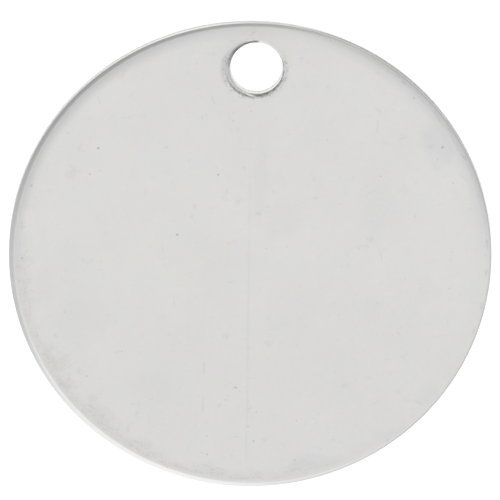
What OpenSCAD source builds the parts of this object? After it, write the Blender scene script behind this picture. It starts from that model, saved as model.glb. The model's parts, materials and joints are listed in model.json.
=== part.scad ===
// Disc pendant: one flat round blank, punched from soft sheet metal, with one round hole near its rim for a
// ring or a cord. It lies on its back. Z is up through its front face, and Y points towards the hole.
// Sizes are in millimetres.

/* [Disc] */
// Diameter of the disc
disc_d = 25; // [14:0.5:60]
// Thickness of the sheet that the disc is punched from
disc_t = 0.65; // [0.5:0.05:2]
// Radius of the front rim's edge, worn soft
front_edge_r = 0.22; // [0.05:0.01:0.35]
// Radius of the back rim's edge
back_edge_r = 0.06; // [0.02:0.01:0.25]

/* [Rolled rim] */
// Width of the band along the rim where punching pulled the front face down
roll_w = 0.75; // [0.4:0.05:2]
// Depth of that band at the rim
roll_h = 0.03; // [0.01:0.01:0.1]

/* [Hanging hole] */
// Diameter of the hole
hole_d = 2.7; // [1:0.1:5]
// Metal left between the hole and the rim
hole_web = 1; // [0.6:0.05:4]
// Radius of the hole's front edge
hole_front_r = 0.16; // [0.04:0.01:0.35]
// Radius of the hole's back edge
hole_back_r = 0.05; // [0.02:0.01:0.25]

/* [Hidden] */

// Segments of a full circle in the preview
$fn = 180;
// How far a cutting shape runs past the metal that it cuts
spare = 1;

disc_r = disc_d / 2;
hole_r = hole_d / 2;
hole_y = disc_r - hole_web - hole_r;

// Radius of the shallow arc that leaves the flat face level and ends roll_h lower at the rim
roll_r = (pow(roll_w, 2) + pow(roll_h, 2)) / (2 * roll_h);
// Centres of the arcs in the section, as distance from the axis and height. The front edge's arc touches
// the rolled band's arc from inside, so the two run into each other without a crease.
roll_c = [disc_r - roll_w, disc_t - roll_r];
front_rise = sqrt(pow(roll_r - front_edge_r, 2) - pow(roll_w - front_edge_r, 2));
front_c = [disc_r - front_edge_r, roll_c.y + front_rise];
back_c = [disc_r - back_edge_r, back_edge_r];
// Direction of the point where the rolled band's arc hands over to the front edge's, seen from both centres
hand_over = atan2(front_rise, roll_w - front_edge_r);
// Direction in which the rolled band's arc would leave the blank. Its cut runs on to there, past the hand-over,
// so that it and the front edge's cut overlap.
roll_end = acos(roll_w / roll_r);

function heading(angle) = [cos(angle), sin(angle)];

// Ground past an arc of radius r about the point c, between two directions less than 180 degrees apart
module past_arc(c, r, from, to) {
    reach = r + spare;
    corner = reach / cos((to - from) / 2);
    difference() {
        polygon([c, c + reach * heading(from), c + corner * heading((from + to) / 2), c + reach * heading(to)]);
        translate(c) circle(r);
    }
}

// Half of the blank's section, from its axis to the rim
module blank_section() {
    difference() {
        square([disc_r, disc_t]);
        past_arc(roll_c, roll_r, roll_end, 90);
        past_arc(front_c, front_edge_r, 0, hand_over);
        past_arc(back_c, back_edge_r, -90, 0);
    }
}

// Half of the section of what the punch takes out, from the hole's axis outwards, with both mouths rounded
module hole_section() {
    translate([0, -spare]) square([hole_r, disc_t + 2 * spare]);
    past_arc([hole_r + hole_front_r, disc_t - hole_front_r], hole_front_r, 90, 180);
    past_arc([hole_r + hole_back_r, hole_back_r], hole_back_r, 180, 270);
}

module disc() {
    color("silver") difference() {
        rotate_extrude() blank_section();
        translate([0, hole_y, 0]) rotate_extrude() hole_section();
    }
}

disc();
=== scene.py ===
import json
import math
from math import radians
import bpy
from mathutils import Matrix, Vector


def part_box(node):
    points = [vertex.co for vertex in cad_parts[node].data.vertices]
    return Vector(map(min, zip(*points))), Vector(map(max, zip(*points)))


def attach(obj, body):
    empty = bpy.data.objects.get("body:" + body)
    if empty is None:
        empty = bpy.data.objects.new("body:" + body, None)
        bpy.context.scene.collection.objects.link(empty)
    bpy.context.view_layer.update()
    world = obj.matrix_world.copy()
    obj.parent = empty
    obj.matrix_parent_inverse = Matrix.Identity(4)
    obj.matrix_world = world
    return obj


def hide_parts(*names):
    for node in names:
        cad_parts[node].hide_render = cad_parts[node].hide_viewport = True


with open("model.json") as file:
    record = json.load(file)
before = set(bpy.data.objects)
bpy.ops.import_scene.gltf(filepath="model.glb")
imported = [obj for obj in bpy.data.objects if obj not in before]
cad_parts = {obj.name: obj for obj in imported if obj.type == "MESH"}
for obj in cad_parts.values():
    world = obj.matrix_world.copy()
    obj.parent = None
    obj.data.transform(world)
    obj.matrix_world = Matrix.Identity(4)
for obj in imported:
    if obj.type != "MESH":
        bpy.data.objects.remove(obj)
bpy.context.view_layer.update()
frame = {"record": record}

from types import SimpleNamespace

import bpy
from bpy.props import FloatProperty, FloatVectorProperty, IntProperty, PointerProperty
from bpy.types import Operator, Panel, PropertyGroup
from mathutils import Matrix, Vector

bl_info = {
    "name": "Disc Pendant",
    "version": (1, 0, 0),
    "blender": (4, 5, 0),
    "location": "View3D > Sidebar > Pendant",
    "description": "A punched metal disc pendant and the pale table that it lies on",
    "category": "Object",
}

MM = 0.001
DISC_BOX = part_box("disc")
HOLE = next(mount for mount in frame["record"]["mounts"] if mount["name"] == "hanging_hole")

# The stage, in metres. The table lies a hair below the disc, and the camera aims at a point on it.
TABLE_WIDTH = 3.0
TABLE_GAP = 0.002 * MM
LAMP_WIDTH = 0.14
LAMP_HEIGHT = 0.70
CAMERA_AIM = (-0.010 * MM, 0.312 * MM, 0.0)
# The width of a full film frame, in the camera's own millimetres
SENSOR_WIDTH = 36.0
WHITE = (1.0, 1.0, 1.0, 1.0)
CARD_COLOUR = (0.92, 0.92, 0.92, 1.0)

# Slight tints of the rolled sheet, which drift from cool to warm and from rose to green over the face
COOL_TINT = (0.9925, 1.0, 1.0035, 1.0)
WARM_TINT = (1.0085, 0.9985, 0.990, 1.0)
ROSE_TINT = (1.003, 0.994, 1.003, 1.0)
GREEN_TINT = (0.997, 1.0055, 0.997, 1.0)

# Edge vertices of two bands that lie closer than this are one
SEAM_GAP = 0.0005 * MM

# Zones of the disc's skin, kept as a number on each face while the disc is made
FACE_ZONE = 0
EDGE_ZONE = 1
WALL_ZONE = 2
BACK_ZONE = 3

# The plainest marks on the front face, listed one by one. Places are from the disc's centre, and all sizes are
# in millimetres. A strength of 1 is a plain mark.
# Pits: x, y, width, strength
PITS = [
    (-8.0, 5.7, 0.10, 1.0),
    (-8.4, 4.3, 0.09, 0.6),
    (-3.3, 11.0, 0.08, 0.6),
    (-1.8, 4.5, 0.09, 0.8),
    (-3.8, 1.2, 0.13, 1.0),
    (-0.2, 7.9, 0.09, 0.6),
    (8.1, 8.9, 0.08, 0.7),
    (9.7, 6.3, 0.14, 0.9),
    (-11.4, 3.6, 0.14, 0.5),
    (-11.8, -0.3, 0.11, 0.9),
    (-6.5, -5.2, 0.08, 0.5),
    (-8.3, -6.6, 0.08, 0.6),
    (-0.6, -7.0, 0.08, 0.9),
    (-0.5, -7.0, 0.08, 1.0),
    (-0.3, -7.2, 0.07, 0.8),
    (0.6, -8.3, 0.08, 0.6),
    (0.2, -9.1, 0.08, 0.6),
    (0.5, -9.9, 0.09, 0.8),
    (2.7, -10.9, 0.08, 0.7),
    (-0.4, -9.7, 0.08, 0.8),
    (-1.9, -10.7, 0.08, 0.7),
]
# Small soft stains: x, y, width, strength
STAINS = [
    (-8.9, 5.7, 0.30, 0.8),
    (-9.3, 4.4, 0.55, 0.9),
    (7.1, 8.2, 0.22, 0.7),
    (7.8, 4.0, 0.55, 0.5),
    (9.4, 5.3, 0.35, 0.6),
    (-9.5, -0.9, 0.28, 0.9),
    (-1.1, -4.2, 0.30, 0.8),
    (1.1, -4.5, 0.35, 0.8),
    (-9.7, -5.9, 1.00, 1.1),
    (-9.3, -7.0, 0.80, 1.1),
    (-8.7, -6.4, 0.35, 0.9),
    (-8.0, -7.9, 0.55, 0.9),
    (5.2, -6.7, 0.30, 0.8),
    (8.3, -7.4, 0.35, 0.6),
    (1.1, -9.8, 0.30, 0.8),
]
# Upright streaks: x, y, length, strength
STREAKS = [
    (6.3, 7.3, 0.75, 0.9),
    (-2.2, -6.0, 0.70, 1.0),
    (-2.2, -8.0, 0.90, 0.6),
    (-5.0, -8.9, 0.55, 0.5),
]
# Broad cool patches: x, y, width, height, strength
PATCHES = [
    (9.5, 6.8, 1.9, 3.4, 0.9),
    (6.4, 3.1, 1.8, 4.5, 0.4),
    (0.4, 4.2, 0.9, 5.5, 0.4),
    (1.6, 2.2, 2.4, 2.2, 0.3),
    (6.4, -2.5, 1.6, 1.8, 0.3),
    (-10.6, -1.9, 1.4, 2.4, 0.4),
    (-8.8, -3.6, 3.2, 3.4, 0.5),
    (-4.8, -7.0, 3.0, 2.2, 0.4),
    (7.9, -9.4, 2.4, 1.0, 0.6),
    (4.0, -10.9, 3.2, 0.9, 0.6),
    (9.6, -7.2, 1.3, 2.6, 0.5),
]


def length_property(name, description, default):
    return FloatProperty(name=name, description=description, default=default, unit="LENGTH", precision=5)


def side_property(name, description, degrees):
    return FloatProperty(name=name, description=description, default=radians(degrees), subtype="ANGLE")


def share_property(name, description, default, most=1.0):
    return FloatProperty(name=name, description=description, default=default, subtype="FACTOR", min=0,
                         max=most)


def light_property(name, description, default):
    return FloatProperty(name=name, description=description, default=default, min=0)


def colour_property(name, description, default):
    return FloatVectorProperty(name=name, description=description, default=default, subtype="COLOR", size=3,
                               min=0, max=1)


class DiscSizes(PropertyGroup):
    """Sizes of the punched disc. Its geometry nodes have an input for each."""

    radius: length_property("Radius", "Radius of the disc", (DISC_BOX[1].x - DISC_BOX[0].x) / 2)
    thickness: length_property("Thickness", "Thickness of the sheet", DISC_BOX[1].z - DISC_BOX[0].z)
    rim_radius: length_property("Front rim radius", "Mean radius of the front rim's worn edge", 0.245 * MM)
    rim_uneven: share_property(
        "Rim unevenness", "How much rounder the rim's edge is on its round side", 0.58, most=0.7)
    rim_heading: side_property("Rim round side", "Side where the rim's edge is roundest", 207)
    back_radius: length_property("Back rim radius", "Radius of the back rim's edge", 0.035 * MM)
    roll_width: length_property(
        "Rolled band width", "Width of the band that punching pulled down along the rim", 0.75 * MM)
    roll_depth: length_property("Rolled band depth", "Mean depth of that band at the rim", 0.050 * MM)
    roll_uneven: share_property(
        "Roll unevenness", "How much deeper the rolled band is on its deep side", 0.70, most=0.9)
    roll_heading: side_property("Roll deep side", "Side where the rolled band is deepest", 150)
    hole_radius: length_property("Hole radius", "Radius of the hanging hole", HOLE["dims"]["r_mm"] * MM)
    hole_place: length_property("Hole place", "Distance of the hole's axis from the disc's", HOLE["pos_m"][1])
    mouth_radius: length_property("Hole front radius", "Mean radius of the hole's front edge", 0.225 * MM)
    mouth_uneven: share_property(
        "Hole unevenness", "How much rounder the hole's edge is on its round side", 0.6, most=0.8)
    mouth_heading: side_property("Hole round side", "Side where the hole's edge is roundest", 203)
    hole_back_radius: length_property("Hole back radius", "Radius of the hole's back edge", 0.035 * MM)
    shear_depth: length_property(
        "Torn band depth", "How far the torn lower part of a punched wall lies back", 0.012 * MM)
    columns: IntProperty(name="Columns", description="Faces round the disc", default=480, min=96, max=720)


class MetalLook(PropertyGroup):
    """Colours and finish of the metal, and the colours of the shade painted on it."""

    face_colour: colour_property("Face", "Colour of the rolled sheet", (0.802, 0.796, 0.787))
    edge_colour: colour_property("Worn edge", "Colour of the rounded edges", (0.80, 0.80, 0.795))
    wall_colour: colour_property("Punched wall", "Colour of the punched walls", (0.79, 0.787, 0.78))
    # Colour of pits and dirt, also used for the painted shade on the edges, the walls and beside the hole
    stain_colour: colour_property("Stain", "Colour of pits and of dirt in the burrs", (0.16, 0.16, 0.155))
    # Tarnish colour, also used for the painted shade inside the rim and round the hole
    tarnish_colour: colour_property(
        "Tarnish", "Colour of the soft stains and of the wear inside the rim", (0.387, 0.355, 0.332))
    # The cool colour of the painted shade along the rim, also used for the broad cool patches
    haze_colour: colour_property(
        "Haze", "Colour of the soft haze along one side of the rim", (0.70, 0.708, 0.722))
    face_roughness: share_property("Face roughness", "Roughness of the rolled sheet", 0.38)


class StudioLook(PropertyGroup):
    """Camera and lights."""

    camera_tilt: side_property(
        "Camera tilt", "Lean of the view towards the hole's side, from straight above", 16.2)
    camera_side: side_property("Camera side lean", "Lean of the view to the right of the hole's line", -0.9)
    camera_roll: side_property("Camera roll", "Turn of the picture about the line of sight", 2.0)
    camera_distance: length_property("Camera distance", "Distance of the camera from the disc", 0.25)
    frame_width: length_property("Picture width", "Width of the picture at the disc", 25.93 * MM)
    table_light: light_property("Table light", "Brightness of the lamp over the table", 60.0)
    dim_light: light_property("Dim side", "Brightness of the room away from the light", 0.40)
    face_light: light_property(
        "Light above", "Brightness of the part of the light that the face mirrors", 1.035)
    low_light: light_property("Light below", "Brightness of the low part of the light", 0.98)
    light_fall: light_property(
        "Light fall", "How much the light above dims from straight above to the horizon", 0.05)
    light_bearing: side_property("Light bearing", "Side of the room that the light stands on", 262)
    fill_light: light_property("Fill", "Brightness that the fill cards on both sides add", 0.23)
    card_light: light_property("Card", "Brightness of the white card under the disc", 1.38)


class Number:
    """A value in a node tree. Sums written with it become nodes, so that a formula stays a formula."""

    def __init__(self, tree, socket):
        self.tree = tree
        self.socket = socket

    def __add__(self, other):
        return calculate(self.tree, "ADD", self, other)

    def __radd__(self, other):
        return calculate(self.tree, "ADD", other, self)

    def __sub__(self, other):
        return calculate(self.tree, "SUBTRACT", self, other)

    def __rsub__(self, other):
        return calculate(self.tree, "SUBTRACT", other, self)

    def __mul__(self, other):
        return calculate(self.tree, "MULTIPLY", self, other)

    def __truediv__(self, other):
        return calculate(self.tree, "DIVIDE", self, other)

    def __rtruediv__(self, other):
        return calculate(self.tree, "DIVIDE", other, self)

    def __pow__(self, other):
        return calculate(self.tree, "POWER", self, other)


def connect(tree, socket, value):
    """Links a Number or a socket to an input, or sets the input to a plain value."""
    if isinstance(value, Number):
        tree.links.new(value.socket, socket)
    elif isinstance(value, bpy.types.NodeSocket):
        tree.links.new(value, socket)
    else:
        socket.default_value = value


def add_node(tree, kind, settings=None, **inputs):
    """A new node with its settings made and its named inputs connected. Underscores stand for spaces."""
    node = tree.nodes.new(kind)
    for name, value in (settings or {}).items():
        setattr(node, name, value)
    for name, value in inputs.items():
        connect(tree, node.inputs[name.replace("_", " ")], value)
    return node


def calculate(tree, operation, *values):
    node = tree.nodes.new("ShaderNodeMath")
    node.operation = operation
    for socket, value in zip(node.inputs, values):
        connect(tree, socket, value)
    return Number(tree, node.outputs[0])


def root(value):
    return calculate(value.tree, "SQRT", value)


def absolute(value):
    return calculate(value.tree, "ABSOLUTE", value)


def cosine(angle):
    return calculate(angle.tree, "COSINE", angle)


def sine(angle):
    return calculate(angle.tree, "SINE", angle)


def bearing(up, across):
    return calculate(up.tree, "ARCTAN2", up, across)


def largest(first, *others):
    for other in others:
        first = calculate(first.tree, "MAXIMUM", first, other)
    return first


def ease(value, start, end, low=0.0, high=1.0):
    """Runs smoothly from low to high while the value goes from start to end."""
    node = add_node(value.tree, "ShaderNodeMapRange", {"interpolation_type": "SMOOTHSTEP"}, Value=value,
                    From_Min=start, From_Max=end, To_Min=low, To_Max=high)
    return Number(value.tree, node.outputs[0])


def facing(angle, side, start, end, low=0.0, high=1.0):
    """Runs smoothly from low to high as a bearing nears a side. start and end are cosines of their angle."""
    return ease(cosine(angle - side), start, end, low, high)


def vector_of(tree, x, y, z):
    node = tree.nodes.new("ShaderNodeCombineXYZ")
    for socket, value in zip(node.inputs, (x, y, z)):
        connect(tree, socket, value)
    return node.outputs[0]


def parts_of(tree, vector):
    node = tree.nodes.new("ShaderNodeSeparateXYZ")
    connect(tree, node.inputs[0], vector)
    return [Number(tree, socket) for socket in node.outputs]


def noise(tree, vector, scale, detail=2.0, roughness=0.5, seed=0.0):
    """Soft noise from 0 to 1 at a place, with a fixed seed."""
    node = add_node(tree, "ShaderNodeTexNoise", {"noise_dimensions": "4D"}, Vector=vector, Scale=scale,
                    Detail=detail, Roughness=roughness, W=seed)
    return Number(tree, node.outputs[0])


class Group:
    """A node group under way. Each input and output is made where it is first named."""

    def __init__(self, name, kind="ShaderNodeTree"):
        self.tree = bpy.data.node_groups.new(name, kind)
        self.given = self.tree.nodes.new("NodeGroupInput")
        self.result = self.tree.nodes.new("NodeGroupOutput")

    def number(self, label, default=0, kind="NodeSocketFloat"):
        socket = self.tree.interface.new_socket(name=label, in_out="INPUT", socket_type=kind)
        socket.default_value = default
        return Number(self.tree, self.given.outputs[label])

    def side(self, label, degrees):
        return self.number(label, radians(degrees))

    def vector(self, label):
        self.tree.interface.new_socket(name=label, in_out="INPUT", socket_type="NodeSocketVector")
        return self.given.outputs[label]

    def put(self, label, value, kind="NodeSocketFloat"):
        self.tree.interface.new_socket(name=label, in_out="OUTPUT", socket_type=kind)
        connect(self.tree, self.result.inputs[label], value)


# The disc's form

def socket_label(name):
    return name.replace("_", " ").capitalize()


def band(tree, columns, rows, zone, place_of):
    """A closed band of faces round the disc. place_of gives the ring's axis, radius and height at a row."""
    grid = add_node(tree, "GeometryNodeMeshGrid", Size_X=1.0, Size_Y=1.0, Vertices_X=rows + 1,
                    Vertices_Y=columns + 1.0)
    along, turn, _ = parts_of(tree, grid.outputs["UV Map"])
    angle = turn * math.tau
    axis, radius, height = place_of(along, angle)
    place = vector_of(tree, radius * cosine(angle), axis + radius * sine(angle), height)
    shaped = add_node(tree, "GeometryNodeSetPosition", Geometry=grid.outputs["Mesh"], Position=place)
    marked = add_node(tree, "GeometryNodeStoreNamedAttribute", {"data_type": "INT", "domain": "FACE"},
                      Geometry=shaped.outputs[0], Name="zone", Value=zone)
    return marked.outputs[0]


def closed_skin(tree, bands):
    """Joins the bands and closes their seams. Only vertices on an open edge are merged."""
    joined = tree.nodes.new("GeometryNodeJoinGeometry")
    for geometry in reversed(bands):
        tree.links.new(geometry, joined.inputs[0])
    neighbours = tree.nodes.new("GeometryNodeInputMeshEdgeNeighbors")
    is_open = calculate(tree, "LESS_THAN", neighbours.outputs[0], 1.5)
    merged = add_node(tree, "GeometryNodeMergeByDistance", Geometry=joined.outputs[0], Selection=is_open,
                      Distance=SEAM_GAP)
    return merged.outputs[0]


def torn_walls(tree, skin, size):
    """Sets the torn lower part of the rim's wall and of the hole's back a little, in upright streaks."""
    x, y, z = parts_of(tree, tree.nodes.new("GeometryNodeInputPosition").outputs[0])
    hole_y = y - size.hole_place
    from_axis = root(x * x + y * y)
    from_hole = root(x * x + hole_y * hole_y)
    rim_wall = ease(from_axis, size.radius - 0.05 * MM, size.radius - 0.005 * MM)
    hole_wall = ease(from_hole, size.hole_radius + 0.05 * MM, size.hole_radius + 0.005 * MM)
    ragged = noise(tree, vector_of(tree, x, y, 0.0), 1.1 / MM, 2.0, 0.6, 3.0) - 0.5
    torn_below = size.thickness * 0.50 + ragged * 0.22 * MM
    torn = ease(z, torn_below, torn_below - 0.08 * MM) * ease(z, 0.02 * MM, 0.10 * MM)
    streaks = noise(tree, vector_of(tree, x, y, z * 0.15), 9.0 / MM, 2.0, 0.7, 5.0)
    depth = torn * size.shear_depth * (0.4 + streaks * 1.2)
    push_x = (hole_wall / from_hole - rim_wall / from_axis) * x * depth
    push_y = (hole_wall / from_hole * hole_y - rim_wall / from_axis * y) * depth
    push = vector_of(tree, push_x, push_y, 0.0)
    return add_node(tree, "GeometryNodeSetPosition", Geometry=skin, Offset=push).outputs[0]


def disc_bands(size):
    """The bands of the disc's skin: rows of faces, zone, and a function for where a ring of it lies. It takes a
    share of the way along the band and a bearing, and gives the ring's axis, radius and height."""
    radius, thickness, back = size.radius, size.thickness, size.back_radius
    hole, hole_place, hole_back = size.hole_radius, size.hole_place, size.hole_back_radius
    roll_width = size.roll_width
    quarter = math.pi / 2

    def uneven(mean, share, angle):
        return mean * (1.0 + share * cosine(angle))

    def rim_edge(angle):
        return uneven(size.rim_radius, size.rim_uneven, angle - size.rim_heading)

    def mouth_edge(angle):
        return uneven(size.mouth_radius, size.mouth_uneven, angle - size.mouth_heading)

    def between(first, second, along):
        """From first to second, with smaller steps near both."""
        return first + (second - first) * (along * along * (3.0 - along * 2.0))

    def shoulder(angle):
        """Radius of the rolled band's arc, height of the edge arc's centre, and where the two arcs meet."""
        edge = rim_edge(angle)
        depth = uneven(size.roll_depth, size.roll_uneven, angle - size.roll_heading)
        arc = (roll_width * roll_width + depth * depth) / (depth * 2.0)
        rise = root((arc - edge) ** 2.0 - (roll_width - edge) ** 2.0)
        return arc, thickness - arc + rise, bearing(rise, roll_width - edge)

    def face(along, angle):
        ring = between(hole + mouth_edge(angle), radius - roll_width, along)
        return between(hole_place, 0.0, along), ring, thickness

    def roll(along, angle):
        arc, _, meeting = shoulder(angle)
        lean = quarter + (meeting - quarter) * along
        return 0.0, radius - roll_width + arc * cosine(lean), thickness - arc + arc * sine(lean)

    def front_edge(along, angle):
        edge = rim_edge(angle)
        _, top, meeting = shoulder(angle)
        lean = meeting * (1.0 - along)
        return 0.0, radius - edge + edge * cosine(lean), top + edge * sine(lean)

    def rim_wall(along, angle):
        top = shoulder(angle)[1]
        return 0.0, radius, top + (back - top) * along

    def back_edge(along, angle):
        lean = along * -quarter
        return 0.0, radius - back + back * cosine(lean), back + back * sine(lean)

    def underside(along, angle):
        return between(0.0, hole_place, along), between(radius - back, hole + hole_back, along), 0.0

    def hole_back_edge(along, angle):
        lean = quarter * 3.0 - along * quarter
        return hole_place, hole + hole_back + hole_back * cosine(lean), hole_back + hole_back * sine(lean)

    def hole_wall(along, angle):
        top = thickness - mouth_edge(angle)
        return hole_place, hole, hole_back + (top - hole_back) * along

    def hole_front_edge(along, angle):
        edge = mouth_edge(angle)
        lean = math.pi - along * quarter
        return hole_place, hole + edge + edge * cosine(lean), thickness - edge + edge * sine(lean)

    return (
        (26, FACE_ZONE, face),
        (10, FACE_ZONE, roll),
        (14, EDGE_ZONE, front_edge),
        (14, WALL_ZONE, rim_wall),
        (5, WALL_ZONE, back_edge),
        (16, BACK_ZONE, underside),
        (5, WALL_ZONE, hole_back_edge),
        (14, WALL_ZONE, hole_wall),
        (14, EDGE_ZONE, hole_front_edge),
    )


def disc_tree(materials):
    """Geometry nodes that make the disc: bands turned about the hole's axis, the disc's, or between them."""
    group = Group("Punched disc", "GeometryNodeTree")
    tree = group.tree
    kinds = {"columns": "NodeSocketInt"}
    size = SimpleNamespace(**{
        name: group.number(socket_label(name), kind=kinds.get(name, "NodeSocketFloat"))
        for name in DiscSizes.__annotations__
    })
    bands = [band(tree, size.columns, *parts) for parts in disc_bands(size)]
    skin = torn_walls(tree, closed_skin(tree, bands), size)
    smooth = add_node(tree, "GeometryNodeSetShadeSmooth", Geometry=skin)
    solid = add_node(tree, "GeometryNodeRealizeInstances", Geometry=smooth.outputs[0]).outputs[0]
    zone = add_node(tree, "GeometryNodeInputNamedAttribute", {"data_type": "INT"}, Name="zone").outputs[0]
    for number, material in materials.items():
        here = add_node(tree, "FunctionNodeCompare", {"data_type": "INT", "operation": "EQUAL"})
        connect(tree, here.inputs[2], zone)
        connect(tree, here.inputs[3], number)
        painted = add_node(tree, "GeometryNodeSetMaterial", Geometry=solid, Material=material,
                           Selection=here.outputs[0])
        solid = painted.outputs[0]
    group.put("Geometry", solid, "NodeSocketGeometry")
    return tree


def made_mesh(name, tree, settings):
    """The result of a geometry tree as a plain mesh object. settings gives a value for each named input."""
    draft = bpy.data.objects.new(name + "_draft", bpy.data.meshes.new(name + "_draft"))
    bpy.context.scene.collection.objects.link(draft)
    modifier = draft.modifiers.new("Make", "NODES")
    modifier.node_group = tree
    for item in tree.interface.items_tree:
        if item.item_type == "SOCKET" and item.in_out == "INPUT":
            modifier[item.identifier] = settings[item.name]
    graph = bpy.context.evaluated_depsgraph_get()
    mesh = bpy.data.meshes.new_from_object(draft.evaluated_get(graph))
    mesh.name = name
    bpy.data.objects.remove(draft)
    piece = bpy.data.objects.new(name, mesh)
    bpy.context.scene.collection.objects.link(piece)
    return piece


# The metal. Its groups measure in millimetres. A side is the bearing of a stretch of the rim or of the hole,
# anticlockwise from the right of the picture.

def place_group():
    """Where a point lies on the disc: its place, its depth below the front, its bearings and distances."""
    group = Group("Place on the disc")
    scaled = add_node(group.tree, "ShaderNodeVectorMath", {"operation": "SCALE"},
                      Vector=group.vector("Object place"), Scale=1 / MM)
    x, y, z = parts_of(group.tree, scaled.outputs[0])
    hole_y = y - group.number("Hole place")
    group.put("Place", scaled.outputs[0], "NodeSocketVector")
    group.put("From rim", group.number("Disc radius") - root(x * x + y * y))
    group.put("From hole", root(x * x + hole_y * hole_y) - group.number("Hole radius"))
    group.put("Bearing", bearing(y, x))
    group.put("Hole bearing", bearing(hole_y, x))
    group.put("Depth", group.number("Thickness") - z)
    return group.tree


def mottle_group():
    """Soft uneven tone of rolled sheet: broad patches, smaller clouds and a fine grain."""
    group = Group("Sheet mottle")
    tree, place, seed = group.tree, group.vector("Place"), group.number("Seed")
    scale = 1.0 / group.number("Patch size", 3.0)
    group.put("Patches", noise(tree, place, scale, 2.0, 0.5, seed))
    group.put("Clouds", noise(tree, place, scale * 5.0, 3.0, 0.6, seed + 7.0))
    group.put("Grain", noise(tree, place, scale * 36.0, 3.0, 0.7, seed + 19.0))
    return tree


def stroke(tree, place, scale, wide, often, seed):
    """Fine curved hairlines: short pieces of the level lines of a soft noise. More show if often is low."""
    level = absolute(noise(tree, place, scale, 0.0, 0.0, seed) - 0.5)
    shown = ease(noise(tree, place, 1.7, 2.0, 0.6, seed + 3.0), often, often + 0.08)
    return ease(level, wide, wide * 0.25) * shown


def drawn_group():
    """Handling marks: fine scratches, upright streaks, and one long drawn line down the disc."""
    group = Group("Drawn marks")
    tree, place, seed = group.tree, group.vector("Place"), group.number("Seed")
    x, y, _ = parts_of(tree, place)
    long_scratches = stroke(tree, place, 0.45, 0.009, 0.56, seed + 70.0)
    short_scratches = stroke(tree, place, 0.9, 0.018, 0.58, seed + 80.0)
    group.put("Dark scratches", largest(long_scratches, short_scratches))
    group.put("Light scratches", stroke(tree, place, 0.6, 0.010, 0.58, seed + 90.0))

    fine = noise(tree, vector_of(tree, x * 7.0, y * 0.6, seed), 1.0, 3.0, 0.6, 11.0)
    often = noise(tree, vector_of(tree, x * 1.5, y * 0.8, seed), 1.0, 1.0, 0.5, 23.0)
    streaks = ease(fine, 0.66, 0.78) * ease(often, 0.55, 0.75) * 0.4
    for streak_x, streak_y, length, strength in STREAKS:
        beside = ease(absolute(x - streak_x), 0.09, 0.02)
        along = ease(absolute(y - streak_y), length * 0.6, length * 0.3)
        streaks = largest(streaks, beside * along * strength)
    group.put("Streaks", streaks)

    wander = noise(tree, place, 0.35, 2.0, 0.5, 2.0) - 0.5
    off_line = x - group.number("Line place") + y * 0.02 - wander * 0.12
    broken = ease(noise(tree, vector_of(tree, 0.0, y, 0.0), 1.6, 3.0, 0.7, 31.0), 0.30, 0.6, 0.45, 1.0)
    ends = ease(y, -11.4, -10.6) * ease(y, 8.3, 0.5) * ease(y, 1.0, 8.0, 1.0, 0.5)
    group.put("Line", ease(absolute(off_line), 0.10, 0.01) * broken * ends)
    return tree


def spots_group():
    """Charted and sprinkled marks of the face: dark pits, small soft stains and broad cool patches."""
    group = Group("Spots")
    tree, place = group.tree, group.vector("Place")
    x, y, _ = parts_of(tree, place)
    flat = vector_of(tree, x, y, 0.0)
    ragged = noise(tree, place, 4.0, 4.0, 0.75, 35.0) - 0.5
    crumbled = noise(tree, place, 18.0, 2.0, 0.6, 37.0) - 0.5
    lumpy = noise(tree, place, 7.0, 2.0, 0.6, 39.0) - 0.5
    drift = noise(tree, place, 0.9, 3.0, 0.6, 38.0) - 0.5

    def distance_to(spot_x, spot_y):
        node = add_node(tree, "ShaderNodeVectorMath", {"operation": "DISTANCE"}, Vector=flat)
        connect(tree, node.inputs[1], (spot_x, spot_y, 0.0))
        return Number(tree, node.outputs["Value"])

    def patch(spot_x, spot_y, wide, high, spot_strength):
        off_x, off_y = (x - spot_x) / (wide / 2), (y - spot_y) / (high / 2)
        return ease(root(off_x * off_x + off_y * off_y) + drift * 1.6, 1.2, 0.4) * spot_strength

    cells = add_node(tree, "ShaderNodeTexVoronoi", {"voronoi_dimensions": "2D"}, Vector=place, Scale=1.05)
    chance, width, strength = parts_of(tree, cells.outputs["Color"])
    pits = ease(Number(tree, cells.outputs["Distance"]) + crumbled * 0.08, width * 0.06 + 0.015, 0.010)
    pits = pits * ease(chance, 0.68, 0.72) * (strength * 0.45 + 0.05)
    for spot_x, spot_y, spot_width, spot_strength in PITS:
        edge = distance_to(spot_x, spot_y) + lumpy * 0.14
        pits = largest(pits, ease(edge, spot_width * 0.70, spot_width * 0.15) * spot_strength)
    group.put("Pits", pits)

    stains = ease(noise(tree, place, 3.0, 4.0, 0.72, 36.0), 0.56, 0.69) * 0.55
    for spot_x, spot_y, spot_width, spot_strength in STAINS:
        edge = distance_to(spot_x, spot_y) + ragged * spot_width * 3.2
        stains = largest(stains, ease(edge, spot_width * 0.8, spot_width * 0.1) * spot_strength)
    group.put("Stains", stains * ease(crumbled, -0.25, 0.20, 0.4, 1.15))

    group.put("Patches", largest(*[patch(*numbers) for numbers in PATCHES]))
    return tree


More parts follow.
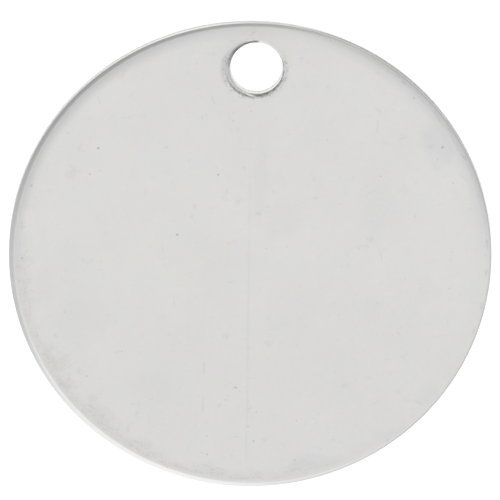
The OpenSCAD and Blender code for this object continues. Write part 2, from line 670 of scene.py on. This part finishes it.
def wear_and_shade_group():
    """Wear inside the rim, speckled tarnish mostly on one side and nicks, and painted shade near the rim and
    the hole.
    """
    group = Group("Rim wear")
    tree, place = group.tree, group.vector("Place")
    from_rim, angle = group.number("From rim"), group.number("Bearing")
    from_hole, hole_angle = group.number("From hole"), group.number("Hole bearing")
    rim_shade_side = group.side("Hazy side", 140)

    reach = noise(tree, place, 0.7, 2.0, 0.5, 41.0)
    inner = ease(reach, 0.38, 0.66, 0.60, 1.35)
    belt = ease(from_rim, 0.26, 0.56) * ease(from_rim, inner + 0.40, inner * 0.65)
    belt = belt * facing(angle, group.side("Worn side", -128), 0.20, 0.90, 0.12, 1.0)
    smeared = vector_of(tree, from_rim * 4.5, angle * 18.0, 0.0)
    coarse = ease(noise(tree, smeared, 1.0, 4.0, 0.72, 43.0), 0.42, 0.64, 0.06, 1.15)
    fine = ease(noise(tree, place, 10.0, 3.0, 0.65, 45.0), 0.44, 0.60, 0.15, 1.1)
    group.put("Speckle", belt * coarse * fine)
    group.put("Band", belt)

    # Painted shade: a soft cool darkening inside the rim on its upper left and upper right
    first_rim_shade = facing(angle, rim_shade_side, 0.45, 0.97)
    second_rim_shade = facing(angle, group.side("Second haze", 40), 0.72, 0.96) * 0.75
    group.put("Haze", ease(from_rim, reach * 0.55 + 0.60, 0.20) * largest(first_rim_shade, second_rim_shade))

    # Painted shade: a soft darkening round the hole, wide above it and narrow on its lower right
    above_hole = ease(from_hole, 1.2, 0.35) * ease(sine(hole_angle), -0.10, 0.50) * 0.35
    below_hole = ease(from_hole, 0.55, 0.05) * facing(hole_angle, group.side("Halo foot", -48), 0.70, 0.95)
    group.put("Halo", largest(above_hole, below_hole))

    # Painted shade: soft darkening just inside the rim on its upper right and left, and wider on its upper left
    upper_shade = facing(angle, group.side("Upper shade", 45), 0.74, 0.94) * 1.5
    left_shade = facing(angle, group.side("Left shade", 178), 0.84, 0.97) * 0.7
    wide_rim_shade = facing(angle, rim_shade_side, 0.82, 0.96)
    narrow, wide = ease(from_rim, 0.42, 0.10), ease(from_rim, 0.85, 0.15)
    group.put("Shade", largest(narrow * largest(upper_shade, left_shade), wide * wide_rim_shade))

    wander = (noise(tree, place, 1.2, 3.0, 0.6, 46.0) - 0.5) * 0.30
    along_rim = vector_of(tree, from_rim * 8.0, angle * 15.0, 0.0)
    nicks = ease(absolute(from_rim - 0.23 + wander), 0.13, 0.02)
    nicks = nicks * ease(noise(tree, along_rim, 1.0, 3.0, 0.7, 47.0), 0.50, 0.66)
    group.put("Nicks", nicks * facing(angle, group.side("Nicked side", 18), 0.60, 0.90))
    return tree


def burr_glint_and_shade_group():
    """Where the punch dragged the metal round the hole's mouth: dark broken lines, partly painted crease shade,
    a raised lip, dark specks, painted glints, flakes at its foot laid flat and painted bright, and painted side
    shade."""
    group = Group("Punch burrs")
    tree, place = group.tree, group.vector("Place")
    from_hole, angle = group.number("From hole"), group.number("Hole bearing")
    wander = (noise(tree, place, 2.4, 3.0, 0.6, 51.0) - 0.5) * 0.07
    torn = noise(tree, place, 6.0, 2.0, 0.6, 53.0)

    crease = ease(angle, radians(-160), radians(-40), 0.22, 0.01)
    # Dark lines along the burr's crease, partly painted crease shade
    first = absolute(from_hole - crease - wander)
    second = absolute(from_hole - crease - 0.09 + wander * 2.0)
    lines = largest(ease(first, 0.065, 0.01) * ease(torn, 0.25, 0.45),
                    ease(second, 0.04, 0.0) * ease(torn, 0.52, 0.62) * 0.7)
    around = ease(angle, radians(-172), radians(-145)) * ease(angle, radians(28), radians(0))
    lower = facing(angle, group.side("Burred side", -90), -0.20, 0.50, 0.45, 1.0)
    clean = facing(angle, group.side("Clean side", -45), 0.82, 0.97, 1.0, 0.70)
    group.put("Lines", lines * lower * around * clean)
    group.put("Lip", ease(from_hole, 0.34, 0.20) * torn)

    crumbs = noise(tree, place, 8.5, 3.0, 0.65, 57.0)
    outer = ease(cosine(angle), -0.9, 0.3, 0.46, 0.30) + (torn - 0.5) * 0.35
    ring = ease(from_hole, outer, outer - 0.10) * ease(from_hole, crease - 0.04, crease + 0.04)
    ring = ring * ease(sine(angle), 0.60, 0.20, 0.15, 1.0)
    group.put("Specks", ring * ease(crumbs, 0.50, 0.62))

    flake_place = ease(angle, radians(-120), radians(-86), 0.045, 0.125)
    flakes = ease(absolute(from_hole - flake_place - wander * 0.5), 0.05, 0.02)
    flakes = flakes * facing(angle, group.side("Flaky side", -104), 0.93, 0.97)
    flakes = flakes * ease(noise(tree, place, 6.0, 2.0, 0.6, 59.0), 0.42, 0.47)
    group.put("Flakes", flakes)
    # Painted glints: bright specks round the hole and on the flakes at its foot
    group.put("Glints", largest(ring * ease(crumbs, 0.46, 0.38), flakes))

    # Painted shade: a soft dark band beside the hole on its left
    shade_place = facing(angle, group.side("Far soot", 196), 0.45, 0.95, 0.12, 0.36)
    side_shade = ease(absolute(from_hole - shade_place), 0.26, 0.02) * ease(shade_place, 0.12, 0.34, 1.0, 0.65)
    group.put("Soot", side_shade * facing(angle, group.side("Sooty side", 162), 0.55, 0.90))
    return tree


def edge_shade_and_stain_group():
    """Painted shade, with some stain, on the hole's mouth, the rim's edge and its wall, and a painted highlight
    on one side of both edges."""
    group = Group("Edge stain")
    tree, place, depth = group.tree, group.vector("Place"), group.number("Depth")
    angle, hole_angle = group.number("Bearing"), group.number("Hole bearing")
    from_hole = group.number("From hole")
    patchy = noise(tree, place, 2.2, 3.0, 0.6, 61.0) * 0.4 + 0.75
    foot_side = group.side("Foot side", 286)

    # Painted shade on the rim: its edge darker on the upper left and upper right, and its wall on the upper
    # right
    front = facing(angle, group.side("Rim side", 128), 0.62, 0.90) * ease(depth, 0.0, 0.04) * 0.06
    shaded = facing(angle, group.side("Shaded side", 36), 0.85, 0.96)
    upper_edge = shaded * ease(depth, 0.0, 0.03) * 0.22
    toward_wall = cosine(angle - group.side("Wall side", 46))
    stained_to = ease(toward_wall, 0.80, 0.97, 0.40, 0.62)
    wall = ease(depth, 0.10, 0.18) * ease(depth, stained_to + 0.20, stained_to)
    wall = wall * ease(toward_wall, 0.45, 0.93) * (0.95 + shaded * 0.25)
    # Painted contact shadow along the foot of the rim on its lower right
    lower_edge = facing(angle, group.side("Low side", 300), 0.88, 0.97) * ease(depth, 0.01, 0.05) * 0.18
    lower_line = facing(angle, foot_side, 0.80, 0.95) * ease(depth, 0.09, 0.16) * 0.32
    on_rim = largest(front, upper_edge, wall, lower_edge, lower_line)

    # Painted shade on the hole's mouth: a dark crescent on its upper left, a thin line on top and a line at its
    # foot
    mouth = facing(hole_angle, group.side("Mouth side", 140), 0.75, 0.95) * ease(from_hole, 0.32, 0.02) * 0.88
    top = facing(hole_angle, group.side("Top side", 106), 0.93, 0.975) * ease(from_hole, 0.19, 0.12)
    foot = facing(hole_angle, foot_side, 0.80, 0.96) * ease(from_hole, 0.12, 0.02)
    on_mouth = largest(mouth, top, foot * ease(depth, 0.22, 0.16) * 0.45)

    by_hole = ease(from_hole, 0.60, 0.50)
    group.put("Stain", (on_rim * (1.0 - by_hole) + on_mouth * by_hole) * patchy)
    # Painted highlight: both edges lighter on their lower left, towards the light
    bright_rim = facing(angle, group.side("Polished side", 238), 0.75, 0.95)
    bright_mouth = facing(hole_angle, group.side("Bright mouth", 214), 0.72, 0.95)
    group.put("Polish", largest(bright_rim * (1.0 - by_hole), bright_mouth * by_hole))
    return tree


def shade(colour, factor=1.0):
    return (*[channel * factor for channel in colour], 1.0)


class Finish:
    """A metal material under way: its tree, and where a point lies on the disc."""

    def __init__(self, name, groups, size):
        self.material = bpy.data.materials.new(name)
        self.material.use_nodes = True
        self.tree = self.material.node_tree
        self.groups = groups
        self.at = {}
        coordinates = self.tree.nodes.new("ShaderNodeTexCoord")
        self.at = self.use("place", Object_place=coordinates.outputs["Object"], Disc_radius=size.radius / MM,
                           Hole_radius=size.hole_radius / MM, Hole_place=size.hole_place / MM,
                           Thickness=size.thickness / MM)
        self.place = self.at["Place"]

    def use(self, name, **own):
        """Places a group and gives its outputs. Own inputs are given here, and places come from self.at."""
        node = self.tree.nodes.new("ShaderNodeGroup")
        node.node_tree = self.groups[name]
        given = {**self.at, **{label.replace("_", " "): value for label, value in own.items()}}
        for socket in node.inputs:
            if socket.name in given:
                connect(self.tree, socket, given[socket.name])
        return {socket.name: Number(self.tree, socket) for socket in node.outputs}

    def noise(self, scale, detail, roughness, seed):
        return noise(self.tree, self.place, scale, detail, roughness, seed)

    def mixed(self, first, second, share, kind="RGBA", blend="MIX"):
        node = add_node(self.tree, "ShaderNodeMix", {"data_type": kind, "blend_type": blend}, Factor=share)
        ends = [socket for socket in node.inputs if socket.type == kind][-2:]
        for socket, value in zip(ends, (first, second)):
            connect(self.tree, socket, value)
        return next(socket for socket in node.outputs if socket.type == kind)

    def tinted(self, colour, first, second, share):
        """The colour multiplied by a tint between two tints."""
        return self.mixed(colour, self.mixed(first, second, share), 1.0, blend="MULTIPLY")

    def flattened(self, normal, share):
        """The normal turned towards the disc's own, by a share."""
        level = add_node(self.tree, "ShaderNodeVectorTransform",
                         {"vector_type": "NORMAL", "convert_from": "OBJECT", "convert_to": "WORLD"},
                         Vector=(0.0, 0.0, 1.0))
        turned = self.mixed(normal, level.outputs[0], share, kind="VECTOR")
        whole = add_node(self.tree, "ShaderNodeVectorMath", {"operation": "NORMALIZE"}, Vector=turned)
        return whole.outputs[0]

    def finish(self, colour, roughness, relief, flakes=None):
        """Feeds the shader. relief is in thousandths of a millimetre, and flakes is where metal lies flat."""
        bump = add_node(self.tree, "ShaderNodeBump", Strength=1.0, Distance=0.001 * MM, Height=relief)
        normal = bump.outputs[0] if flakes is None else self.flattened(bump.outputs[0], flakes)
        fed = {"Base Color": colour, "Metallic": 1.0, "Roughness": roughness, "Normal": normal}
        for name, value in fed.items():
            connect(self.tree, self.tree.nodes["Principled BSDF"].inputs[name], value)
        return self.material


def face_material(groups, size, look):
    """Rolled sheet: pale, satin, faintly mottled, scratched and pitted, worn near the rim and the hole, with
    painted shade and glints.
    """
    metal = Finish("Rolled sheet", groups, size)
    mottle = metal.use("mottle", Patch_size=3.2, Seed=1.0)
    marks = metal.use("drawn", Line_place=-0.06)
    spots, wear, burrs = metal.use("spots"), metal.use("wear"), metal.use("burrs")

    x, y, _ = parts_of(metal.tree, metal.place)
    tone = (mottle["Patches"] - 0.5) * 0.9 + (mottle["Clouds"] - 0.5) * 1.45 + 0.5
    # The face is darker towards the bottom and a little lighter towards the right
    tone = tone + ease(y, 4.0, -12.0, 0.05, -0.40) + ease(x, 0.0, 11.0, 0.0, 0.15)
    colour = metal.mixed(shade(look.face_colour, 0.968), shade(look.face_colour, 1.032), tone)
    warm_share = ease(metal.noise(0.6, 7.0, 0.76, 27.0), 0.61, 0.39)
    green_share = ease(metal.noise(0.8, 7.0, 0.78, 29.0), 0.39, 0.60)
    colour = metal.tinted(colour, COOL_TINT, WARM_TINT, warm_share)
    colour = metal.tinted(colour, ROSE_TINT, GREEN_TINT, green_share)
    # Painted shade along the rim and the broad cool patches, in one cool colour
    patches_and_rim_shade = largest(wear["Haze"] * 0.7, spots["Patches"] * 0.5)
    colour = metal.mixed(colour, shade(look.haze_colour), patches_and_rim_shade)
    # Tarnish, stains and streaks, with painted shade inside the rim and round the hole
    tarnish_and_shade = wear["Speckle"] * 0.25 + wear["Band"] * 0.015 + wear["Halo"] * 0.12 + wear["Shade"] * 0.12
    tarnish_and_shade = tarnish_and_shade + spots["Stains"] * 0.14 + marks["Streaks"] * 0.12
    colour = metal.mixed(colour, shade(look.tarnish_colour), tarnish_and_shade)
    dirt = spots["Pits"] * 0.45 + marks["Line"] * 0.055 + marks["Dark scratches"] * 0.045
    # Dark burr lines, partly painted crease shade, and dark specks
    burr_dirt_and_shade = burrs["Lines"] * 0.54 + burrs["Specks"] * 0.44
    # Pits, the drawn line, scratches, nicks and the burrs' lines and specks, with the painted shade beside the
    # hole
    dirt = largest(dirt, wear["Nicks"] * 0.21, burr_dirt_and_shade, burrs["Soot"] * 0.28)
    colour = metal.mixed(colour, shade(look.stain_colour), dirt)
    # Light scratches and the painted glints
    bright = marks["Light scratches"] * 0.12 + burrs["Glints"] * 0.8
    colour = metal.mixed(colour, shade(look.face_colour, 1.16), bright)

    roughness = look.face_roughness + (mottle["Clouds"] - 0.5) * 0.10
    roughness = roughness + wear["Band"] * 0.05 + marks["Dark scratches"] * 0.06
    raised = mottle["Grain"] * 0.9 + mottle["Clouds"] * 1.2 + burrs["Lip"] * 9.0 + burrs["Glints"] * 9.0
    sunk = marks["Dark scratches"] * 0.8 + spots["Pits"] * 6.0 + burrs["Lines"] * 6.0 + wear["Speckle"] * 0.8
    return metal.finish(colour, roughness, raised - sunk)


def edge_material(groups, size, look):
    """Rounded edges, tumbled softer than the face, with painted shade, painted glints and a painted highlight
    on one side.
    """
    metal = Finish("Worn edge", groups, size)
    mottle = metal.use("mottle", Patch_size=1.4, Seed=5.0)
    burrs, stain = metal.use("burrs"), metal.use("stain")
    colour = metal.mixed(shade(look.edge_colour, 1.04), shade(look.edge_colour, 1.16), mottle["Clouds"])
    # Painted highlight on the lower left of both edges
    colour = metal.mixed(colour, shade(look.edge_colour, 1.18), stain["Polish"])
    burr_dirt_and_shade = burrs["Lines"] * 0.50 + burrs["Specks"] * 0.40
    # Burr lines and specks, painted edge shade with some stain, and the painted shade beside the hole
    dirt = largest(burr_dirt_and_shade, stain["Stain"] * 0.85) + burrs["Soot"] * 0.22
    colour = metal.mixed(colour, shade(look.stain_colour), dirt)
    # Painted glints
    colour = metal.mixed(colour, shade(look.edge_colour, 1.22), burrs["Glints"] * 0.9)
    roughness = look.face_roughness + 0.04 + (mottle["Clouds"] - 0.5) * 0.16
    relief = mottle["Grain"] * 1.5 + mottle["Clouds"] * 3.0 - burrs["Lines"] * 6.0
    relief = relief + burrs["Lip"] * 9.0 + burrs["Glints"] * 12.0
    return metal.finish(colour, roughness, relief, burrs["Flakes"])


def wall_material(groups, size, look):
    """Punched walls: a burnished band above, a torn and streaked one below, with painted shade on parts of
    them.
    """
    metal = Finish("Punched wall", groups, size)
    mottle, stain = metal.use("mottle", Patch_size=1.0, Seed=9.0), metal.use("stain")
    x, y, z = parts_of(metal.tree, metal.place)
    upright = vector_of(metal.tree, x, y, z * 0.12)
    streaks = noise(metal.tree, upright, 11.0, 3.0, 0.7, 13.0)
    thickness = size.thickness / MM
    torn = ease(z + (mottle["Clouds"] - 0.5) * 0.2, 0.42 * thickness, 0.34 * thickness)
    colour = metal.mixed(shade(look.wall_colour, 0.90), shade(look.wall_colour, 1.08), streaks)
    colour = metal.mixed(colour, shade(look.wall_colour, 0.92), torn * 0.7)
    # Painted shade on the walls, with some stain
    colour = metal.mixed(colour, shade(look.stain_colour), stain["Stain"] * 0.75)
    roughness = 0.30 + torn * 0.06 + (streaks - 0.5) * 0.12
    relief = streaks * (2.0 + torn * 7.0) + mottle["Grain"] * (0.8 + torn * 4.0)
    return metal.finish(colour, roughness, relief)


def back_material(groups, size, look):
    """The back: the same sheet, left as it came, with a little more handling wear."""
    metal = Finish("Sheet back", groups, size)
    mottle = metal.use("mottle", Patch_size=2.6, Seed=15.0)
    marks = metal.use("drawn", Line_place=-3.0, Seed=100.0)
    tone = (mottle["Patches"] - 0.5) * 0.7 + (mottle["Clouds"] - 0.5) * 0.6 + 0.5
    colour = metal.mixed(shade(look.face_colour, 0.92), shade(look.face_colour, 1.02), tone)
    dirt = largest(marks["Dark scratches"] * 0.08, marks["Line"] * 0.05)
    colour = metal.mixed(colour, shade(look.stain_colour), dirt)
    roughness = look.face_roughness + 0.04 + (mottle["Clouds"] - 0.5) * 0.14 + marks["Dark scratches"] * 0.08
    relief = mottle["Grain"] * 1.2 + mottle["Clouds"] * 1.5 - marks["Dark scratches"] * 1.6
    return metal.finish(colour, roughness, relief)


class PENDANT_OT_punch_disc(Operator):
    """Make the disc with its hole, edges and finishes"""

    bl_idname = "pendant.punch_disc"
    bl_label = "Punch the disc"

    def execute(self, context):
        size = context.scene.pendant_disc
        look = context.scene.pendant_metal
        groups = {"place": place_group(), "mottle": mottle_group(), "drawn": drawn_group(),
                  "spots": spots_group(), "wear": wear_and_shade_group(), "burrs": burr_glint_and_shade_group(), "stain": edge_shade_and_stain_group()}
        materials = {
            FACE_ZONE: face_material(groups, size, look),
            EDGE_ZONE: edge_material(groups, size, look),
            WALL_ZONE: wall_material(groups, size, look),
            BACK_ZONE: back_material(groups, size, look),
        }
        settings = {socket_label(name): getattr(size, name) for name in DiscSizes.__annotations__}
        disc = made_mesh("punched_disc", disc_tree(materials), settings)
        if not disc.data.polygons:
            raise RuntimeError("the disc came out empty")
        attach(disc, "root")
        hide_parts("disc")
        return {"FINISHED"}


# The stage

def add_table_lamp(look):
    """A square soft light above the table, which the metal doesn't mirror. Its power follows its size."""
    data = bpy.data.lights.new("Table light", "AREA")
    data.shape = "SQUARE"
    data.size = LAMP_WIDTH
    data.energy = math.pi * LAMP_WIDTH * LAMP_WIDTH * look.table_light
    lamp = bpy.data.objects.new("Table light", data)
    bpy.context.scene.collection.objects.link(lamp)
    lamp.location.z = LAMP_HEIGHT
    lamp.visible_camera = False
    lamp.visible_glossy = False


def soft_room(look):
    """A dim room with one very large soft light that reaches from low on one side to straight above, and a
    white card under the disc. The table isn't mirrored, so the metal mirrors the card in its place."""
    world = bpy.data.worlds.new("Soft room")
    world.use_nodes = True
    tree = world.node_tree
    x, y, z = parts_of(tree, tree.nodes.new("ShaderNodeTexCoord").outputs["Generated"])
    east, north = math.cos(look.light_bearing), math.sin(look.light_bearing)
    forward = x * east + y * north
    sideways = absolute(x * north - y * east)
    overhead = look.face_light - look.dim_light - forward * look.light_fall
    above = ease(forward, -0.50, 0.05) * ease(sideways, 0.72, 0.04) * overhead
    low = ease(forward, 0.30, 0.62) * ease(sideways, 0.75, 0.38) * (look.low_light - look.dim_light)
    card = ease(z, -0.55, -0.98) * (look.card_light - look.dim_light)
    fill = largest(ease(x, -0.35, 0.60), ease(x, -0.30, -0.85) * ease(y, 0.30, -0.20)) * look.fill_light
    seen = Number(tree, tree.nodes.new("ShaderNodeLightPath").outputs["Is Camera Ray"])
    strength = (largest(above, low, card, fill) + look.dim_light) * (1.0 - seen) + seen
    background = tree.nodes["Background"]
    background.inputs["Color"].default_value = WHITE
    connect(tree, background.inputs["Strength"], strength)
    return world


def add_camera(look, aim):
    """A camera that looks at aim and leans to the hole's side, with the hole at the top of the picture."""
    tilt, side, roll = look.camera_tilt, look.camera_side, look.camera_roll
    back = Vector((math.sin(side) * math.cos(tilt), math.sin(tilt), math.cos(side) * math.cos(tilt)))
    right = Vector((0.0, 1.0, 0.0)).cross(back).normalized()
    up = back.cross(right)
    turned_right = right * math.cos(roll) + up * math.sin(roll)
    turned_up = up * math.cos(roll) - right * math.sin(roll)
    data = bpy.data.cameras.new("Camera")
    data.sensor_width = SENSOR_WIDTH
    data.lens = data.sensor_width * look.camera_distance / look.frame_width
    data.clip_start = 0.01
    data.clip_end = 20.0
    camera = bpy.data.objects.new("Camera", data)
    bpy.context.scene.collection.objects.link(camera)
    axes = Matrix((turned_right, turned_up, back)).transposed().to_4x4()
    camera.matrix_world = Matrix.Translation(Vector(aim) + back * look.camera_distance) @ axes
    bpy.context.scene.camera = camera


def table_material():
    """Matt pale card with a faint tooth."""
    material = bpy.data.materials.new("Pale card")
    material.use_nodes = True
    tree = material.node_tree
    shader = tree.nodes["Principled BSDF"]
    shader.inputs["Base Color"].default_value = CARD_COLOUR
    shader.inputs["Roughness"].default_value = 0.9
    shader.inputs["Specular IOR Level"].default_value = 0.1
    return material


class PENDANT_OT_set_stage(Operator):
    """Lay the pale table under the disc and set the lights and the camera"""

    bl_idname = "pendant.set_stage"
    bl_label = "Set the stage"

    def execute(self, context):
        look = context.scene.pendant_studio
        mesh = bpy.data.meshes.new("table")
        half = TABLE_WIDTH / 2
        corners = [(-half, -half, 0.0), (half, -half, 0.0), (half, half, 0.0), (-half, half, 0.0)]
        mesh.from_pydata(corners, [], [(0, 1, 2, 3)])
        mesh.materials.append(table_material())
        table = bpy.data.objects.new("table", mesh)
        bpy.context.scene.collection.objects.link(table)
        table.location.z = DISC_BOX[0].z - TABLE_GAP
        table.visible_glossy = False
        context.scene.world = soft_room(look)
        add_table_lamp(look)
        add_camera(look, CAMERA_AIM)
        context.scene.view_settings.view_transform = "Standard"
        return {"FINISHED"}


class PENDANT_PT_sidebar(Panel):
    """Steps and sizes of the pendant"""

    bl_idname = "PENDANT_PT_sidebar"
    bl_label = "Disc Pendant"
    bl_space_type = "VIEW_3D"
    bl_region_type = "UI"
    bl_category = "Pendant"

    def draw(self, context):
        layout = self.layout
        for operator in STEPS:
            layout.operator(operator.bl_idname)
        for name, group in SETTINGS.items():
            box = layout.box()
            settings = getattr(context.scene, name)
            for prop in group.__annotations__:
                box.prop(settings, prop)


SETTINGS = {"pendant_disc": DiscSizes, "pendant_metal": MetalLook, "pendant_studio": StudioLook}
STEPS = (PENDANT_OT_punch_disc, PENDANT_OT_set_stage)
CLASSES = (*SETTINGS.values(), *STEPS, PENDANT_PT_sidebar)


def register():
    for cls in CLASSES:
        bpy.utils.register_class(cls)
    for name, group in SETTINGS.items():
        setattr(bpy.types.Scene, name, PointerProperty(type=group))


def unregister():
    for name in SETTINGS:
        delattr(bpy.types.Scene, name)
    for cls in reversed(CLASSES):
        bpy.utils.unregister_class(cls)


def main():
    register()
    bpy.ops.pendant.punch_disc()
    bpy.ops.pendant.set_stage()


if __name__ == "__main__":
    main()
